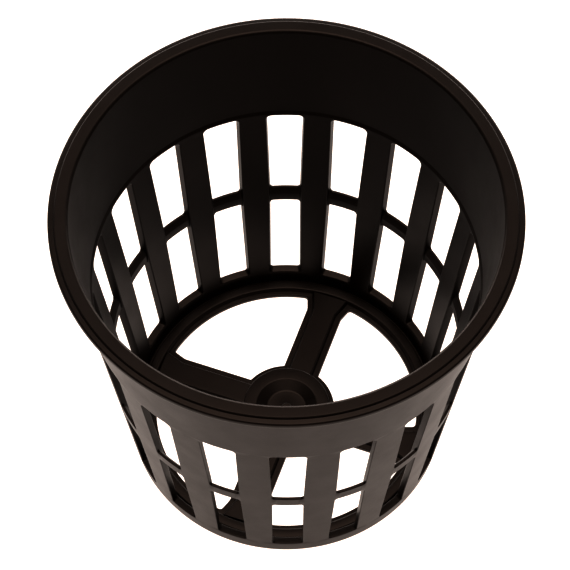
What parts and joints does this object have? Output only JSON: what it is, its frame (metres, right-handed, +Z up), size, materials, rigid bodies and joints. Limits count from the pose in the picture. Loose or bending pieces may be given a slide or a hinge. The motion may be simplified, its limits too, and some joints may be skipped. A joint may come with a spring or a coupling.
{
  "type": "net pot",
  "caption": "Tapered round basket pot with a flanged mouth, a plain collar, windowed sides and an open floor of ring, spokes and hub.",
  "frame": {"origin": "on the pot's own axis, at the level of the underside of its base", "axes": "+Z up along the pot's axis, from the floor to the mouth; +Y towards one column of windows"},
  "size_m": [0.056, 0.056, 0.05],
  "materials": {
    "pot_plastic": "satin dark brown-black, as moulded"
  },
  "bodies": {
    "root": {"net_pot": "pot_plastic"}
  },
  "joints": []
}
